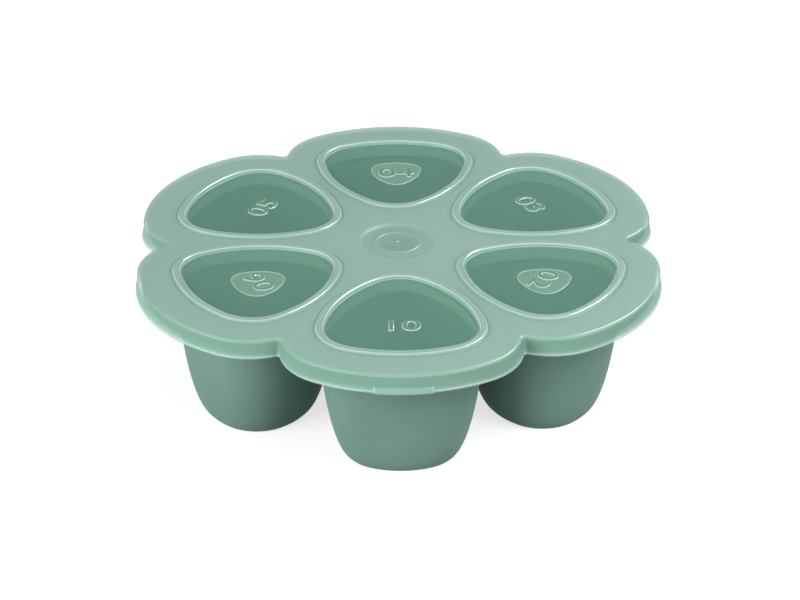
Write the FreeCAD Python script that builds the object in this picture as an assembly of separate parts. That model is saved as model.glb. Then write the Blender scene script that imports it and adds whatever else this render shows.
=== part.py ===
"""Freezer tray for baby food: six portion cups moulded as one silicone tray, under one lid.

The frame has +Z up and its origin on the surface that the cups stand on, on the tray's axis.
Lengths are in millimetres and angles in degrees. The front lobe points to -Y.
"""
import FreeCAD
import Part
import collections
import math
import os

os.makedirs("parts", exist_ok=True)

# ---- The ring of cups ----
CUP_COUNT = 6
FRONT_ANGLE = -90.0           # direction of the first cup, about +Z from +X

# ---- Lobed outline, at the top edge of the lid ----
LOBE_REACH = 117.0            # axis of the tray to the tip of a lobe
LOBE_TIP_RADIUS = 69.0
LOBE_TIP_TURN = 30.7          # half the angle through which the tip arc turns
NOTCH_DEPTH = 17.6            # how far the notch between two lobes lies inside the tips
NOTCH_RADIUS = 2.0            # concave round at the bottom of a notch

# ---- Plan of one window ring, which is also the plan of the cup's mouth ----
RING_MARGIN = 15.4            # lobe tip to the ring's outer edge
WEB_WIDTH = 4.7               # flat deck between two neighbouring rings
RING_TIP_RADIUS = 64.0        # long arc that faces the lobe's tip
RING_CORNER_RADIUS = 20.4     # the two outer corners
RING_FLANK_RADIUS = 60.3      # the two sides that face the neighbouring cups
RING_APEX_RADIUS = 19.8       # inner corner, towards the axis
APEX_STANDOFF = 3.1           # how much further than a flank the inner corner keeps from the web

# ---- Tray ----
TRAY_HEIGHT = 58.4            # cup floors to the top of the tray's deck
TRAY_DECK = 2.4               # thickness of the deck
TRAY_RIM_DEPTH = 5.4          # height of the thick edge that stiffens the deck
TRAY_RIM_WIDTH = 3.2
TRAY_RIM_BEVEL = 0.8          # lead-in at the rim's top edge, which guides the lid's skirt
CUP_INSET = 0.85              # cup's outer face to the window ring's outer edge, at the mouth
CUP_WALL = 2.0
CUP_FLOOR = 2.2
CUP_DRAFT = 5.3               # slope of the wall, so that a frozen portion slips out
BELLY_HEIGHT = 39.0           # height below which the wall curves inwards
BELLY_RADIUS = 200.0
BELLY_STEPS = 2
BASE_ROUND = 4.0              # round between the wall and the floor, on the outside
BASE_STEPS = 3
CUP_ROUNDNESS = 0.35          # 0 gives the cup the window ring's plan, 1 a circle
CUP_SHIFT = 1.2               # how far the cup sits outwards of the window ring

# ---- Lid ----
LID_DECK = 1.6                # thickness of the deck
LID_EDGE_ROUND = 1.5          # round at the top edge
LID_EDGE_STEPS = 3
SKIRT_DEPTH = 8.2             # top of the lid to the lower edge of its skirt
SKIRT_WALL = 1.5
SKIRT_FLARE = 0.8             # how far the skirt leans out over its depth
SKIRT_GAP = 0.4               # clearance between the skirt and the tray's rim
RING_HEIGHT = 1.2             # how far a window ring stands above the deck
RING_WIDTH = 3.8              # ring's outer edge to the edge of the pane
RING_CREST = 2.9              # width of the ring's top, with its bevel
RING_BEVEL = 0.4              # at the crest's inner edge
PANE_SINK = 0.4               # how far the pane lies below the top of the deck
PLUG_DEPTH = 4.4              # height of the sealing wall that enters the cup's mouth
PLUG_WALL = 1.3
PLUG_GAP = 0.25               # clearance between the sealing wall and the cup
PLUG_BEVEL = 0.5              # lead-in at the foot of the sealing wall
DISH_RADIUS = 16.8            # shallow dish in the middle of the lid
DISH_DEPTH = 0.6
DISH_SLOPE = 3.5              # width of the dish's sloping edge
DISH_BEAD_RADIUS = 10.8       # low round bead inside the dish
DISH_BEAD_WIDTH = 1.8
DISH_BEAD_HEIGHT = 0.3
GATE_RADIUS = 1.4             # moulding gate mark at the centre
GATE_HEIGHT = 0.35
LIP_WIDTH = 25.0              # thumb lip on the front of the skirt
LIP_HEIGHT = 2.8
LIP_REACH = 1.2               # how far its lower edge stands out of the skirt
LIP_LEDGE = 0.5               # how far its upper edge stands out

# ---- Derived sizes ----
LID_TOP = TRAY_HEIGHT + LID_DECK
SKIRT_FOOT = LID_TOP - SKIRT_DEPTH
CUP_STEP = 360.0 / CUP_COUNT
HALF_STEP = math.radians(CUP_STEP / 2.0)
RING_OUTER = LOBE_REACH - RING_MARGIN
RING_INNER = (RING_APEX_RADIUS + WEB_WIDTH / 2.0 + APEX_STANDOFF) / math.sin(HALF_STEP) - RING_APEX_RADIUS
CUP_CENTRE = (RING_OUTER + RING_INNER) / 2.0
CUP_MEAN_RADIUS = (RING_OUTER - RING_INNER) / 2.0
UP = FreeCAD.Vector(0, 0, 1)
OVERRUN = 1.0                 # how far a solid that cuts or carries another one passes its face

# An arc of a plan: its centre, its radius, side 1 or -1 where the plan is concave, and the
# bearings of its two ends about the centre.
Arc = collections.namedtuple("Arc", "x y radius side first last")


# ---- Plans ----
def circle_crossing(centre_a, radius_a, centre_b, radius_b):
    """The crossing of two circles that lies on the side of larger y."""
    step_x = centre_b[0] - centre_a[0]
    step_y = centre_b[1] - centre_a[1]
    span = math.hypot(step_x, step_y)
    along = (radius_a ** 2 - radius_b ** 2 + span ** 2) / (2.0 * span)
    across = math.sqrt(radius_a ** 2 - along ** 2)
    middle = (centre_a[0] + along * step_x / span, centre_a[1] + along * step_y / span)
    turn = (-step_y / span * across, step_x / span * across)
    if turn[1] < 0:
        turn = (-turn[0], -turn[1])
    return middle[0] + turn[0], middle[1] + turn[1]


def bearing(start, end):
    """Direction from one plane point to another, in radians."""
    return math.atan2(end[1] - start[1], end[0] - start[0])


def ring_plan():
    """Outer edge of the window ring on the +X axis.

    A flank touches the edge of the web, the inner corner's arc touches both flanks from inside,
    and each outer corner touches the tip arc and a flank from inside.
    """
    out = (math.cos(HALF_STEP), math.sin(HALF_STEP))
    inward = (math.sin(HALF_STEP), -math.cos(HALF_STEP))
    tip = (RING_OUTER - RING_TIP_RADIUS, 0.0)
    apex = (RING_INNER + RING_APEX_RADIUS, 0.0)
    off_web = RING_FLANK_RADIUS + WEB_WIDTH / 2.0
    apex_off_ray = apex[0] * inward[0]
    along = apex[0] * out[0] + math.sqrt(
        (RING_FLANK_RADIUS - RING_APEX_RADIUS) ** 2 - (off_web - apex_off_ray) ** 2)
    flank = (along * out[0] + off_web * inward[0], along * out[1] + off_web * inward[1])
    corner = circle_crossing(tip, RING_TIP_RADIUS - RING_CORNER_RADIUS,
                             flank, RING_FLANK_RADIUS - RING_CORNER_RADIUS)
    tip_end = bearing(tip, corner)
    corner_end = bearing(flank, corner)
    flank_end = bearing(flank, apex)
    full = 2.0 * math.pi
    return [
        Arc(tip[0], 0.0, RING_TIP_RADIUS, 1, -tip_end, tip_end),
        Arc(corner[0], corner[1], RING_CORNER_RADIUS, 1, tip_end, corner_end),
        Arc(flank[0], flank[1], RING_FLANK_RADIUS, 1, corner_end, flank_end),
        Arc(apex[0], 0.0, RING_APEX_RADIUS, 1, flank_end, full - flank_end),
        Arc(flank[0], -flank[1], RING_FLANK_RADIUS, 1, full - flank_end, full - corner_end),
        Arc(corner[0], -corner[1], RING_CORNER_RADIUS, 1, full - corner_end, full - tip_end),
    ]


def lobed_plan():
    """The lobed outline: a tip arc and two shoulders per lobe, and a concave round between lobes."""
    tip = (LOBE_REACH - LOBE_TIP_RADIUS, 0.0)
    turn = math.radians(LOBE_TIP_TURN)
    normal = (math.cos(turn), math.sin(turn))
    tip_end = (tip[0] + LOBE_TIP_RADIUS * normal[0], LOBE_TIP_RADIUS * normal[1])
    notch_reach = LOBE_REACH - NOTCH_DEPTH + NOTCH_RADIUS
    notch = (notch_reach * math.cos(HALF_STEP), notch_reach * math.sin(HALF_STEP))
    # The shoulder leaves the tip arc without a kink and touches the notch's round from outside.
    gap = (tip_end[0] - notch[0], tip_end[1] - notch[1])
    gap_along = gap[0] * normal[0] + gap[1] * normal[1]
    shoulder_radius = (gap[0] ** 2 + gap[1] ** 2 - NOTCH_RADIUS ** 2) / (2.0 * (gap_along + NOTCH_RADIUS))
    shoulder = (tip_end[0] - shoulder_radius * normal[0], tip_end[1] - shoulder_radius * normal[1])
    shoulder_end = bearing(shoulder, notch)
    # The notch's round runs between its touching points on two lobes, on the side of the axis.
    touch_near = bearing(notch, shoulder) + 2.0 * math.pi
    touch_far = 2.0 * (HALF_STEP + math.pi) - touch_near
    lobe = [
        Arc(shoulder[0], -shoulder[1], shoulder_radius, 1, -shoulder_end, -turn),
        Arc(tip[0], 0.0, LOBE_TIP_RADIUS, 1, -turn, turn),
        Arc(shoulder[0], shoulder[1], shoulder_radius, 1, turn, shoulder_end),
        Arc(notch[0], notch[1], NOTCH_RADIUS, -1, touch_far, touch_near),
    ]
    plan = []
    for index in range(CUP_COUNT):
        step = math.radians(FRONT_ANGLE + index * CUP_STEP)
        for arc in lobe:
            x = arc.x * math.cos(step) - arc.y * math.sin(step)
            y = arc.x * math.sin(step) + arc.y * math.cos(step)
            plan.append(Arc(x, y, arc.radius, arc.side, arc.first + step, arc.last + step))
    return plan


def cup_plan():
    """Plan of the cup on the +X axis: the window ring's, inset, nearer to a circle and further out."""
    keep = 1.0 - CUP_ROUNDNESS
    plan = []
    for arc in ring_plan():
        x = CUP_CENTRE + CUP_SHIFT + keep * (arc.x - CUP_CENTRE)
        radius = keep * arc.radius + CUP_ROUNDNESS * CUP_MEAN_RADIUS - CUP_INSET
        plan.append(Arc(x, keep * arc.y, radius, arc.side, arc.first, arc.last))
    return plan


def plan_wire(plan, z, grow=0.0):
    """A plan's wire at height z, moved outwards by grow."""
    edges = []
    for arc in plan:
        circle = Part.Circle(FreeCAD.Vector(arc.x, arc.y, z), UP, arc.radius + arc.side * grow)
        edges.append(Part.Arc(circle, arc.first, arc.last).toShape())
    return Part.Wire(edges)


# ---- Profiles: points of (outward offset from the plan, height) ----
def stepped_arc(centre, radius, first, last, steps):
    """Points of a circular arc between two bearings, joined by straight steps."""
    turn = (last - first) / steps
    bearings = [first + index * turn for index in range(steps + 1)]
    return [(centre[0] + radius * math.cos(angle), centre[1] + radius * math.sin(angle)) for angle in bearings]


def drafted_offset(inset, z):
    """Offset of a cup's drafted wall at a height, with an inset from the plan at the mouth."""
    return -inset - (TRAY_HEIGHT - z) * math.tan(math.radians(CUP_DRAFT))


def cup_profile(inset, top, floor):
    """A cup's wall from a height down to the floor: drafted, then a belly, then a round."""
    draft = math.radians(CUP_DRAFT)
    belly = BELLY_RADIUS - inset
    base = BASE_ROUND - inset
    belly_centre = (drafted_offset(inset, BELLY_HEIGHT) - belly * math.cos(draft),
                    BELLY_HEIGHT + belly * math.sin(draft))
    turn = math.asin((belly_centre[1] - floor - base) / (belly - base))
    base_centre = (belly_centre[0] + (belly - base) * math.cos(turn), floor + base)
    points = [(drafted_offset(inset, top), top)]
    points += stepped_arc(belly_centre, belly, -draft, -turn, BELLY_STEPS)
    points += stepped_arc(base_centre, base, -turn, -math.pi / 2.0, BASE_STEPS)[1:]
    return points


# ---- Solids ----
def closed_solid(faces):
    """The solid that a closed set of faces bounds."""
    skin = Part.makeCompound(faces)
    skin.sewShape()
    solid = Part.makeSolid(skin.Shells[0])
    if solid.Volume < 0:
        solid.reverse()
    return solid


def swept(plan, profile):
    """Solid of a profile that follows a closed plan. An open profile gets flat faces at its ends."""
    faces = []
    for arc in plan:
        centre = FreeCAD.Vector(arc.x, arc.y, 0)
        outward = FreeCAD.Vector(math.cos(arc.first), math.sin(arc.first), 0)
        points = [centre + outward * (arc.radius + arc.side * offset) + UP * z for offset, z in profile]
        for start, end in zip(points, points[1:]):
            edge = Part.makeLine(start, end)
            faces.append(edge.revolve(centre, UP, math.degrees(arc.last - arc.first)))
    if profile[0] != profile[-1]:
        faces += [Part.Face(plan_wire(plan, z, offset)) for offset, z in (profile[0], profile[-1])]
    return closed_solid(faces)


def turned(profile, centre=FreeCAD.Vector(0, 0, 0), first=0.0, turn=360.0):
    """Solid of a closed profile of (radius, height) turned about a vertical axis."""
    outward = FreeCAD.Vector(math.cos(math.radians(first)), math.sin(math.radians(first)), 0)
    points = [centre + outward * radius + UP * z for radius, z in profile]
    return Part.Face(Part.makePolygon(points + points[:1])).revolve(centre, UP, turn)


def around(shape):
    """One copy of a shape for each cup. The shape is drawn on the +X axis."""
    copies = []
    for index in range(CUP_COUNT):
        copy = shape.copy()
        copy.rotate(FreeCAD.Vector(0, 0, 0), UP, FRONT_ANGLE + index * CUP_STEP)
        copies.append(copy)
    return copies


def make_tray():
    """Deck with a thick rim and the cups hanging from it, in one moulding."""
    rim = -(SKIRT_WALL + SKIRT_GAP)
    rim_base = TRAY_HEIGHT - TRAY_RIM_DEPTH
    deck_base = TRAY_HEIGHT - TRAY_DECK
    body = swept(lobed_plan(), [
        (rim - TRAY_RIM_BEVEL, TRAY_HEIGHT),
        (rim, TRAY_HEIGHT - TRAY_RIM_BEVEL),
        (rim, rim_base),
        (rim - TRAY_RIM_WIDTH, rim_base),
        (rim - TRAY_RIM_WIDTH, deck_base),
    ])
    body = body.multiFuse(around(swept(cup_plan(), cup_profile(0.0, deck_base, 0.0))))
    hollow = swept(cup_plan(), cup_profile(CUP_WALL, TRAY_HEIGHT, CUP_FLOOR))
    return body.cut(Part.makeCompound(around(hollow))).removeSplitter()


def lid_shell():
    """Deck and flared skirt, hollow below to drop over the tray's rim."""
    lean = SKIRT_FLARE / SKIRT_DEPTH
    flare = math.atan(lean)
    round_centre = (-LID_EDGE_ROUND * (1.0 - math.sin(flare)) / math.cos(flare), LID_TOP - LID_EDGE_ROUND)
    inside = SKIRT_FLARE - SKIRT_WALL
    profile = stepped_arc(round_centre, LID_EDGE_ROUND, math.pi / 2.0, flare, LID_EDGE_STEPS)
    profile += [
        (SKIRT_FLARE, SKIRT_FOOT),
        (inside, SKIRT_FOOT),
        (inside - (TRAY_HEIGHT - SKIRT_FOOT) * lean, TRAY_HEIGHT),
    ]
    return swept(lobed_plan(), profile)


def thumb_lip():
    """Low ledge along the foot of the front skirt."""
    half_turn = math.degrees(math.asin(LIP_WIDTH / 2.0 / LOBE_TIP_RADIUS))
    tip = FreeCAD.Vector(LOBE_REACH - LOBE_TIP_RADIUS, 0, 0)
    root = LOBE_TIP_RADIUS + SKIRT_FLARE - SKIRT_WALL / 2.0
    lip_top = SKIRT_FOOT + LIP_HEIGHT
    skirt_face = LOBE_TIP_RADIUS + SKIRT_FLARE * (LID_TOP - lip_top) / SKIRT_DEPTH
    lip = turned([
        (root, SKIRT_FOOT),
        (LOBE_TIP_RADIUS + SKIRT_FLARE + LIP_REACH, SKIRT_FOOT),
        (skirt_face + LIP_LEDGE, lip_top),
        (root, lip_top),
    ], tip, -half_turn, 2.0 * half_turn)
    return around(lip)[0]


def window_plateau():
    """Raised field of one window, from which the pane's pocket leaves a ring."""
    return swept(ring_plan(), [
        (0.0, LID_TOP - OVERRUN),
        (0.0, LID_TOP),
        (RING_CREST - RING_WIDTH, LID_TOP + RING_HEIGHT),
    ])


def pane_pocket():
    """What one pane's recess takes out of the raised field, with the bevel of the ring's crest."""
    crest = LID_TOP + RING_HEIGHT
    return swept(ring_plan(), [
        (-RING_WIDTH, LID_TOP - PANE_SINK),
        (-RING_WIDTH, crest - RING_BEVEL),
        (RING_BEVEL - RING_WIDTH, crest),
        (RING_BEVEL - RING_WIDTH, crest + OVERRUN),
    ])


def sealing_wall():
    """Wall under one pane that follows the drafted inside of the cup's mouth."""
    outside = CUP_WALL + PLUG_GAP
    inside = outside + PLUG_WALL
    foot = TRAY_HEIGHT - PLUG_DEPTH
    root = TRAY_HEIGHT + LID_DECK / 2.0
    return swept(cup_plan(), [
        (drafted_offset(outside, root), root),
        (drafted_offset(outside, foot + PLUG_BEVEL), foot + PLUG_BEVEL),
        (drafted_offset(outside, foot) - PLUG_BEVEL, foot),
        (drafted_offset(inside, foot), foot),
        (drafted_offset(inside, root), root),
        (drafted_offset(outside, root), root),
    ])


def make_lid():
    """Deck, skirt, window rings, panes, sealing walls, lip and centre dish, in one moulding."""
    dish_floor = LID_TOP - DISH_DEPTH
    slope_over = OVERRUN * DISH_SLOPE / DISH_DEPTH
    dish = turned([
        (0.0, dish_floor),
        (DISH_RADIUS - DISH_SLOPE, dish_floor),
        (DISH_RADIUS + slope_over, LID_TOP + OVERRUN),
        (0.0, LID_TOP + OVERRUN),
    ])
    bead = turned([
        (DISH_BEAD_RADIUS - DISH_BEAD_WIDTH / 2.0, dish_floor - DISH_BEAD_HEIGHT),
        (DISH_BEAD_RADIUS + DISH_BEAD_WIDTH / 2.0, dish_floor - DISH_BEAD_HEIGHT),
        (DISH_BEAD_RADIUS, dish_floor + DISH_BEAD_HEIGHT),
    ])
    gate = Part.makeCylinder(GATE_RADIUS, GATE_HEIGHT, FreeCAD.Vector(0, 0, dish_floor))
    lid = lid_shell().multiFuse([thumb_lip()] + around(window_plateau()) + around(sealing_wall()))
    lid = lid.cut(Part.makeCompound(around(pane_pocket()) + [dish]))
    return lid.multiFuse([bead, gate]).removeSplitter()


def main():
    """Write each piece to its own STEP file."""
    pieces = {"tray": make_tray(), "lid": make_lid()}
    for name, shape in pieces.items():
        solid = shape.Solids[0]
        box = solid.BoundBox
        print(name, "solids", len(shape.Solids), "valid", shape.isValid(), "volume", round(shape.Volume, 1),
              "size", round(box.XLength, 2), round(box.YLength, 2), round(box.ZLength, 2))
        solid.exportStep("parts/" + name + ".step")


main()
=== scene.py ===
"""Looks of a baby food freezer tray: a silicone tray of six cups under a translucent lid.

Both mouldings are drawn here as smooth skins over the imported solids. A skin is built from loops: each
loop is a plan, such as the lobed outline or a window ring, drawn at an offset and a height, and bands
of quads join one loop to the next. Lengths are in millimetres until a skin becomes a mesh, and the
frame has +Z up with the front lobe towards -Y.
"""

import bmesh
import bpy
import collections
import math
from mathutils import Matrix, Vector
from mathutils.geometry import tessellate_polygon


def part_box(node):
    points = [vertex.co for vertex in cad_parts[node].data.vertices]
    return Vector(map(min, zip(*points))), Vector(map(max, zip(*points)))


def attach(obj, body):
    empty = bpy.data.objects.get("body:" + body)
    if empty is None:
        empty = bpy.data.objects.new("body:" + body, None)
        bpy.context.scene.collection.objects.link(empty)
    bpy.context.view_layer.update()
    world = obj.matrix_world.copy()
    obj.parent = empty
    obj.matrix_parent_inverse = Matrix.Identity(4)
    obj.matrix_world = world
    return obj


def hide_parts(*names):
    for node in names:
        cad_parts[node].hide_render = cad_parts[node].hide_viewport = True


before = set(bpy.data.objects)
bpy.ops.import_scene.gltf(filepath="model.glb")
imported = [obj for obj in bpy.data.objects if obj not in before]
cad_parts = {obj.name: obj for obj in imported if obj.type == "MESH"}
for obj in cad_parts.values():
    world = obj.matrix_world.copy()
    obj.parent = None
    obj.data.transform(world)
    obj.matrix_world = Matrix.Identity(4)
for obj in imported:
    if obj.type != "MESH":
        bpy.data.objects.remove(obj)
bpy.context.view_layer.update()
MM = 0.001

# ---- Sizes that the frame gives ----
TRAY_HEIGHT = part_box("tray")[1].z / MM
TRAY_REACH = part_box("tray")[1].y / MM         # axis to the tip of the back lobe, on the tray's rim
LID_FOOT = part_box("lid")[0].z / MM
LID_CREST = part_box("lid")[1].z / MM
LID_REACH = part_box("lid")[1].y / MM           # axis to the foot of the skirt at the back lobe

# Milkiness is how much lighter than the flat deck the translucent plastic is painted, as rounded() says:
# partly the plastic's own density on faces, partly painted light and shade.
# Values for faces and lines set their milkiness, and values for raised edges how much lighter the edge is
# painted, a painted highlight.

# ---- Lid: deck and skirt ----
LID_DECK = 1.6
LID_TOP = TRAY_HEIGHT + LID_DECK
LID_EDGE_ROUND = 1.5
# The top edge's round is painted lighter in its middle, a painted highlight, and darker at its foot, painted
# shade.
LID_EDGE_PAINTED_HIGHLIGHT = 0.35
LID_EDGE_PAINTED_SHADE = -0.8          # painted shade at the foot of the top edge's round, on the way to the skirt's
CONTACT_GAP = 0.05            # keeps the deck's underside a hair above the tray's deck that it rests on
UNDERSIDE = TRAY_HEIGHT + CONTACT_GAP
SKIRT_FLARE = 0.8
SKIRT_WALL = 1.5
SKIRT_DENSITY_AND_PAINTED_SHADE = -0.85            # painted darker and greener: painted shade, and painted green light from the tray's rim; the skirt's slant also makes it denser to the eye
FACE_TOP_DROP = 2.6           # the skirt's face starts this far below the lid's top
FACE_TOP_FLARE = 0.3          # share of the flare that it has there
FACE_FOOT_RISE = 1.2          # and it ends this far above the foot's bead
FACE_FOOT_FLARE = 0.8
FOOT_BEAD_HEIGHT = 0.8        # a fine bead runs along the skirt's foot
FOOT_BEAD_STEP = 0.3          # how far it stands out
FOOT_BEAD_ROUND = 0.3
FOOT_BEAD_HOLLOW = 0.2        # round between the skirt's face and the bead
# The bead along the skirt's foot is painted lighter, a painted highlight line.
FOOT_BEAD_PAINTED_HIGHLIGHT = 1.0
FOOT_ROUND = 0.45             # rounds inside the skirt, at its foot and under the deck
# The round inside the skirt's foot is painted lighter, a painted highlight.
FOOT_PAINTED_HIGHLIGHT = 0.5

# ---- Lid: window rings, panes and sealing walls ----
RING_WIDTH = 3.8
RING_LINE_OUTER = 0.65        # a fine painted shade line runs around the ring's foot, from here
RING_LINE_INNER = 0.25        # to here
RING_LINE_PAINTED_SHADE = -0.9
RING_FOOT_ROUND = 0.2
RING_SHOULDER_INSET = 0.5     # ring's outer edge to its outer shoulder
RING_SHOULDER_RISE = 1.0      # height of the shoulder over the deck
RING_SHOULDER_ROUND = 1.0
# The ring's outer shoulder is painted lighter, a painted highlight.
RING_SHOULDER_PAINTED_HIGHLIGHT = 0.5
RING_CREST_INSET = 1.9        # ring's outer edge to its crest
RING_CREST_ROUND = 3.0
# The ring's crest is painted lighter, a painted highlight.
RING_CREST_PAINTED_HIGHLIGHT = 0.2
RING_BROW_INSET = 0.35        # pane's edge to the ring's inner shoulder
RING_BROW_DROP = 0.15         # depth of that shoulder under the crest
RING_BROW_ROUND = 0.8
# The ring's inner shoulder is painted lighter, a painted highlight.
RING_BROW_PAINTED_HIGHLIGHT = 0.7
PANE_SINK = 0.4               # how far the pane lies below the top of the deck
PANE_ROUND = 0.35
PLUG_DEPTH = 4.4              # the sealing wall that enters the cup's mouth
PLUG_GAP = 0.25
PLUG_WALL = 1.3
PLUG_ROOT_ROUND = 0.3
PLUG_FOOT_ROUND = 0.4
PLUG_CHAMFER = 0.3            # between the wall's inner face and the back of the pane
PLUG_PAINTED_LIGHT = 0.7               # the sealing wall is painted lighter, as painted light for what comes through the pane

# ---- Lid: dish ----
DISH_RADIUS = 16.8
DISH_DEPTH = 0.6
DISH_SLOPE = 1.8              # width of the dish's sloping edge
DISH_BROW_ROUND = 0.6
# The dish's brow is painted lighter, a painted highlight.
DISH_BROW_PAINTED_HIGHLIGHT = 0.2
DISH_FOOT_ROUND = 1.0
DISH_MILK = -0.6              # the dish is thinner than the deck, so it is less milky
DISH_LINE_PAINTED_SHADE = 2.0 * DISH_MILK    # painted shade line at the foot of the slope and of the gate mark
DISH_BEAD_RADIUS = 9.4
DISH_BEAD_WIDTH = 1.8
DISH_BEAD_HEIGHT = 0.22       # also the height of the gate mark
DISH_BEAD_ROUND = 0.4
# The bead is painted lighter, a painted highlight.
DISH_BEAD_PAINTED_HIGHLIGHT = 0.1
GATE_RADIUS = 1.4             # moulding gate mark at the centre
GATE_SURROUND = 0.6           # width of the line at its foot
GATE_SLOPE = 0.5
GATE_MIDDLE = 0.4             # radius of the small field that closes it
# The gate mark is painted lighter, a painted highlight.
GATE_PAINTED_HIGHLIGHT = 0.4

# ---- Lid: thumb lip ----
LIP_WIDTH = 25.0
LIP_HEIGHT = 2.8
LIP_REACH = 0.8               # how far its lower edge stands out of the skirt
LIP_LEDGE = 0.08              # how far its upper edge stands out
LIP_LEAN = 0.1                # how far its face has gone back at the height of the skirt's bead
LIP_BROW_STEP = 0.25          # how far the foot of its upper edge stands out beyond the ledge
LIP_BROW_DROP = 0.8           # height of that upper edge
LIP_FOOT_PAINTED_HIGHLIGHT = 1.9           # the lip is painted lighter on top of the skirt's milkiness: a painted highlight at its foot,
LIP_PAINTED_LIGHT = 0.5                # painted light on its face
LIP_END_PAINTED_HIGHLIGHT = 0.7            # and a painted highlight beside them at its two ends, where they turn in
LIP_STATIONS = 40             # sections along the lip
LIP_END_STATIONS = 4          # sections over which an end swells to the full reach

# ---- Numerals in the panes, and the plates under three of them ----
MARK_CENTRE = 67.5            # axis to the middle of a mark
# How far each mark lies from there in x and y, from the front cup round to the right.
MARK_SHIFTS = ((0.0, -7.5), (1.6, -3.0), (0.2, 0.6), (0.5, -1.2), (0.2, -0.6), (0.0, -2.8))
NUMERAL_HEIGHT = 8.8
DIGIT_SHARE = 0.72            # height of a digit as a share of the font's size
NUMERAL_WIDENING = 1.35
NUMERAL_RISE = 0.45
NUMERAL_BEVEL = 0.3
NUMERAL_BEVEL_STEPS = 2
# The numerals' frosted flanks are painted lighter, a painted highlight.
NUMERAL_PAINTED_HIGHLIGHT = 0.5
WELD = 0.02                   # points of a numeral's outline nearer than this are one
LEVEL = 0.99                  # upward part of its normal from which a numeral's face counts as level
PLATE_SCALE = 0.32            # a plate's plan against the window ring's
PLATE_SINK = 0.05             # how far a plate reaches down into its pane
PLATE_RISE = 0.35
PLATE_EDGE = 0.7              # width of the plate's raised edge
PLATE_EDGE_ROUND = 0.2
# The plate's raised edge is painted lighter, a painted highlight.
PLATE_EDGE_PAINTED_HIGHLIGHT = 0.5
PLATE_HOLLOW = 0.15           # depth of the plate's field inside that edge
PLATE_HOLLOW_ROUND = 0.1
PLATE_MILK = -0.8             # the plate is thin, and frosted only lightly

# ---- Flat strips that lead from a swept edge to the flat field beside it ----
DECK_STRIP = 3.5              # along the lid's outline, above and below
EDGE_STRIP = 1.0              # around a window ring, the dish and a plate's foot
PANE_STRIP = 0.5
PLUG_STRIP = 0.6              # around a sealing wall, under the deck
PLUG_INNER_STRIP = 0.8        # sealing wall's inner face to the back of the pane
PLATE_STRIP = 0.3
RIM_STRIP = 2.0               # along the tray's outline, above
RIM_INNER_STRIP = 1.5         # and below, inside the thick rim

# ---- Plans ----
CUP_COUNT = 6
PLATED = range(1, CUP_COUNT, 2)    # cups whose numeral stands on a plate
FRONT = math.radians(-90.0)
STEP = 2.0 * math.pi / CUP_COUNT
LOBE_REACH = LID_REACH - SKIRT_FLARE
LOBE_TIP_RADIUS = 69.0
LOBE_TIP_TURN = math.radians(30.7)
NOTCH_DEPTH = 17.6            # how far the notch between two lobes lies inside the tips
NOTCH_RADIUS = 2.0
RING_MARGIN = 15.4            # lobe tip to the ring's outer edge
WEB_WIDTH = 4.7               # flat deck between two neighbouring rings
RING_TIP_RADIUS = 64.0
RING_CORNER_RADIUS = 20.4
RING_FLANK_RADIUS = 60.3
RING_APEX_RADIUS = 19.8
APEX_STANDOFF = 3.1           # how much further than a flank the ring's inner corner keeps from the web
RING_OUTER = LOBE_REACH - RING_MARGIN
APEX_TO_FLANKS = RING_APEX_RADIUS + WEB_WIDTH / 2.0 + APEX_STANDOFF
RING_INNER = APEX_TO_FLANKS / math.sin(STEP / 2.0) - RING_APEX_RADIUS
CUP_CENTRE = (RING_OUTER + RING_INNER) / 2.0
CUP_MEAN_RADIUS = (RING_OUTER - RING_INNER) / 2.0

# ---- Tray ----
TRAY_DECK = 2.4
RIM_DEPTH = 5.4               # height of the thick edge that stiffens the deck
RIM_WIDTH = 3.2
RIM_ROUND = 0.8
CUP_INSET = 0.85              # cup's outer face to the window ring's outer edge, at the mouth
CUP_WALL = 2.0
CUP_FLOOR = 2.2
CUP_DRAFT = math.radians(5.3)
ROLL_HEIGHT = 39.0            # height over which the wall rolls into the floor
ROLL_RUN = 6.8                # how far that roll comes in, beside the draft
BASE_ROUNDNESS = 0.65         # how near to a circle the cup's plan has come at the floor
BASE_SHIFT = 2.4              # how far the floor sits outwards of the mouth
MOUTH_ROUND = 0.6             # between the deck and the cup's inner face
NECK_ROUND = 1.2              # between the deck's underside and the cup's outer face
# Points on those rounds, as shares of the round: out from the wall, and down from the deck.
ROUND_POINTS = ((1.0, 0.0), (0.4, 0.15), (0.1, 0.5))

# ---- Fineness of the skins ----
POINTS_PER_TURN = 96
POINTS_PER_ARC = 6            # fewest points on any arc of a plan
ROUND_STEPS = 5
LONGEST_ROUND = 0.49          # share of a profile's stretch that one round may take up
ROLL_STEPS = 14
SHARP_ANGLE = math.radians(40.0)    # folds sharper than this are shaded as edges

# ---- Material slots: of the lid's pieces, and of the tray, which has only one ----
FROSTED, CLEAR, PANE_BACK = range(3)
SILICONE = 0

# An arc of a plan: its centre, its radius, side 1 or -1 where the plan is concave, and the bearings
# of its two ends about the centre.
Arc = collections.namedtuple("Arc", "x y radius side first last")

# A corner of a profile, as rounded() reads it.
Corner = collections.namedtuple("Corner", "offset height radius milk settled", defaults=(0.0, 0.0, 0.0))


def point_at(centre, radius, angle):
    return (centre[0] + radius * math.cos(angle), centre[1] + radius * math.sin(angle))


def bearing(start, end):
    return math.atan2(end[1] - start[1], end[0] - start[0])


# ---- Plans as chains of tangent arcs ----
def circle_crossing(centre_a, radius_a, centre_b, radius_b):
    """The crossing of two circles that lies on the side of larger y."""
    span = math.dist(centre_a, centre_b)
    along = (radius_a ** 2 - radius_b ** 2 + span ** 2) / (2.0 * span)
    lean = math.acos(along / radius_a)
    towards = bearing(centre_a, centre_b)
    crossings = [point_at(centre_a, radius_a, towards + turn) for turn in (lean, -lean)]
    return max(crossings, key=lambda point: point[1])


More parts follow.
